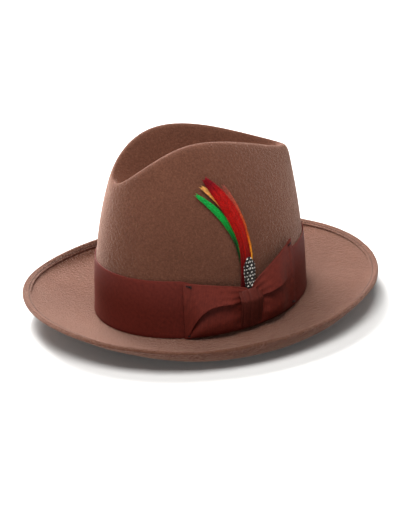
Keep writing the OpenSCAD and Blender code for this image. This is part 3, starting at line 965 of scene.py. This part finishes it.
SWEAT_STITCHES = 230
stitch = tube("stitch", 5, 6, lambda x: thread_at(x, 0.24))
row = []
for i in range(SWEAT_STITCHES):
    lean = 1 if i % 2 else -1

    def rule(p, i=i, lean=lean):
        angle = (i + 0.1 + 0.8 * p.x) * 360 / SWEAT_STITCHES
        z = break_at(angle) + 4.2 + lean * (p.x - 0.5) * 1.5 + p.z
        return wall(angle, z, SWEAT - 1.12 - 0.22 * math.sin(math.pi * p.x) + p.y)

    row.append(copied(stitch, rule))
bpy.data.objects.remove(stitch)
sweat_thread = wear(smooth(joined("sweatband_stitches", row)), PALE_THREAD)
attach(sweat_thread, "hat")
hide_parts("sweatband_stitching")
print("sweatband stitches", len(row))


# %% Small bow at the back
def small_loop(side):
    def place(x, y):
        s = x / 0.5 if x < 0.5 else (1 - x) / 0.5
        s = 0.1 + 0.9 * s
        angle = 180 + side * 6.5 * s
        half = 1.2 + 2.6 * s
        out = SWEAT - 1.45 - (1.5 * math.sin(math.pi * s) if x > 0.5 else 0)
        return wall(angle, break_at(180) + 9 + (y - 0.5) * 2 * half, out)
    return place


pieces = []
for side in (-1, 1):
    loop = outward(lay(flat_cloth("loop", 24, 6), small_loop(side), 20, 7))
    pieces.append(thicken(loop, 0.2, 0))
wrap = outward(lay(flat_cloth("wrap", 8, 8), lambda x, y: wall(
    180 + (2 * x - 1) * 1.1, break_at(180) + 9 + (y - 0.5) * 4.4,
    SWEAT - 2.1 - 0.8 * math.sin(math.pi * y) ** 0.5), 3, 5))
pieces.append(thicken(wrap, 0.25, 0))
small_bow = wear(smooth(joined("sweatband_ribbon_bow", pieces), 60), BOW)
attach(small_bow, "hat")
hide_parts("sweatband_bow")
print("small bow", len(small_bow.data.polygons), "faces")


# %% Lining side, gathered a little
GATHERS = 46


def side_place(x, y):
    angle = 360 * x
    z = break_at(angle) + 18 + 82 * y
    wave = 0.5 + 0.5 * math.sin(x * 2 * math.pi * GATHERS + 1.5 * math.sin(7 * x))
    fold = 0.32 * wave * (0.3 + 0.7 * y)
    return wall(angle, z, IN - 0.35 - 0.28 - fold)


lining = outward(lay(flat_cloth("satin_side", 368, 14), side_place, 560, 82))
wear(smooth(thicken(lining, 0.35, 0), 60), SATIN)
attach(lining, "hat")
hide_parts("lining_side")
print("lining side", len(lining.data.polygons), "faces")


# %% Lining tip and its piping
def tip_place(x, y):
    angle = 360 * x
    p = wall(angle, break_at(angle) + 100, IN - 0.35 - 0.5 - 0.4)
    sag = 0.25 * y * y * math.sin(9 * y + 3 * math.sin(angle / 57.3))
    return Vector((p.x * y, p.y * y, p.z + 5 * (1 - y * y) - 0.25 - sag))


tip = lay(flat_cloth("satin_tip", 120, 16), tip_place)
for d, l in zip(tip.data.uv_layers.active.data, tip.data.loops):
    co = tip.data.vertices[l.vertex_index].co
    d.uv = (co.x / MM, co.y / MM)
outward(tip)
wear(smooth(thicken(tip, 0.4, 0), 60), SATIN)
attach(tip, "hat")
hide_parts("lining_tip")

piping = tube("twisted_piping", 360, 14, lambda x: (
    wall(360 * x, break_at(360 * x) + 98.3 - 0.9, IN - 0.35 - 0.5 - 0.3 - 0.9),
    0.85 + 0.1 * math.sin(x * 2 * math.pi * 170)), closed=True)
wear(piping, SEAM_THREAD)
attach(piping, "hat")
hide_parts("lining_piping")
print("lining tip", len(tip.data.polygons), "faces, piping", len(piping.data.polygons), "faces")

# %% [markdown]
# ### The size label
# A small blank card tucked behind the sweatband. It is a rounded rectangle laid on the lining.

# %% Size label
label = outward(lay(flat_cloth("size_card", 12, 10), lambda x, y: wall(
    144 + 12 * x, break_at(150) + 36 + 12 * y, IN - 1.35 - 0.15 * math.sin(math.pi * x)), 20, 12))
wear(smooth(thicken(label, 0.25, 0, 0.08), 45), CARD)
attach(label, "hat")
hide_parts("size_label")
print("size label", len(label.data.polygons), "faces")

# %% [markdown]
# ## Camera, floor and light
# The hat stands on a white table in soft studio light. The camera looks at the wearer's left
# side from a little above.

# %% Stage
clear()
bpy.ops.mesh.primitive_plane_add(size=6, location=(0, 0, 0))
table = started("table")
mat, t, shader = new_finish("white_acrylic_table", Base_Color=tint("#dbdad8"), Roughness=0.16,
                             Specular_IOR_Level=0.4, Emission_Color=(1, 1, 1, 1), Emission_Strength=0.03)
wear(table, mat)

world = bpy.data.worlds.new("studio")
bpy.context.scene.world = world
world.use_nodes = True
world.node_tree.nodes["Background"].inputs[0].default_value = (1, 1, 1, 1)
world.node_tree.nodes["Background"].inputs[1].default_value = 0.1


def lamp(name, place, aim, size, power):
    clear()
    bpy.ops.object.light_add(type="AREA", location=place)
    obj = started(name)
    obj.data.size, obj.data.energy = size, power
    obj.rotation_euler = (Vector(aim) - Vector(place)).to_track_quat("-Z", "Y").to_euler()
    return obj


lamp("back_soft", (-1.25, 0.0, 1.2), (0, 0, 0.05), 1.0, 86)
lamp("front_side_soft", (-0.9, -1.3, 0.9), (0, 0, 0.06), 0.7, 3)
lamp("back_side_soft", (-0.35, 1.7, 0.75), (0, 0, 0.06), 0.7, 3)
lamp("near_soft", (1.5, -0.9, 0.55), (0, 0, 0.05), 0.9, 3)
lamp("top_soft", (0.4, -0.3, 1.9), (0, 0, 0.05), 1.1, 47)

AIM, LOOK, RISE, ROLL = Vector((0, 0, 0.0056)), 66.0, 25.2, -1.8
# The lens and the two small turns off the aim are lengths in a frame that is 514 high.
FAR, FRAME_H, SENSOR, LENS, TURN_UP, TURN_SIDE = 1.5, 514, 36, 1559.0, 37, 1.3
a, e = math.radians(LOOK), math.radians(RISE)
back = Vector((math.sin(a) * math.cos(e), -math.cos(a) * math.cos(e), math.sin(e)))
cam = bpy.data.objects.new("camera", bpy.data.cameras.new("camera"))
bpy.context.collection.objects.link(cam)
cam.data.sensor_width = SENSOR
cam.data.lens = LENS * SENSOR / FRAME_H
cam.data.clip_start, cam.data.clip_end = 0.05, 50
turn = (-back).to_track_quat("-Z", "Y").to_matrix().to_4x4()
up = Matrix.Rotation(math.atan(TURN_UP / LENS), 4, "X")
side = Matrix.Rotation(math.atan(TURN_SIDE / LENS), 4, "Y")
spin = Matrix.Rotation(math.radians(ROLL), 4, "Z")
cam.matrix_world = Matrix.Translation(AIM + back * FAR) @ turn @ spin @ side @ up
bpy.context.scene.camera = cam
bpy.context.scene.view_settings.view_transform = "Standard"
print("camera is", round(cam.data.lens), "mm at", [round(v, 2) for v in cam.location])
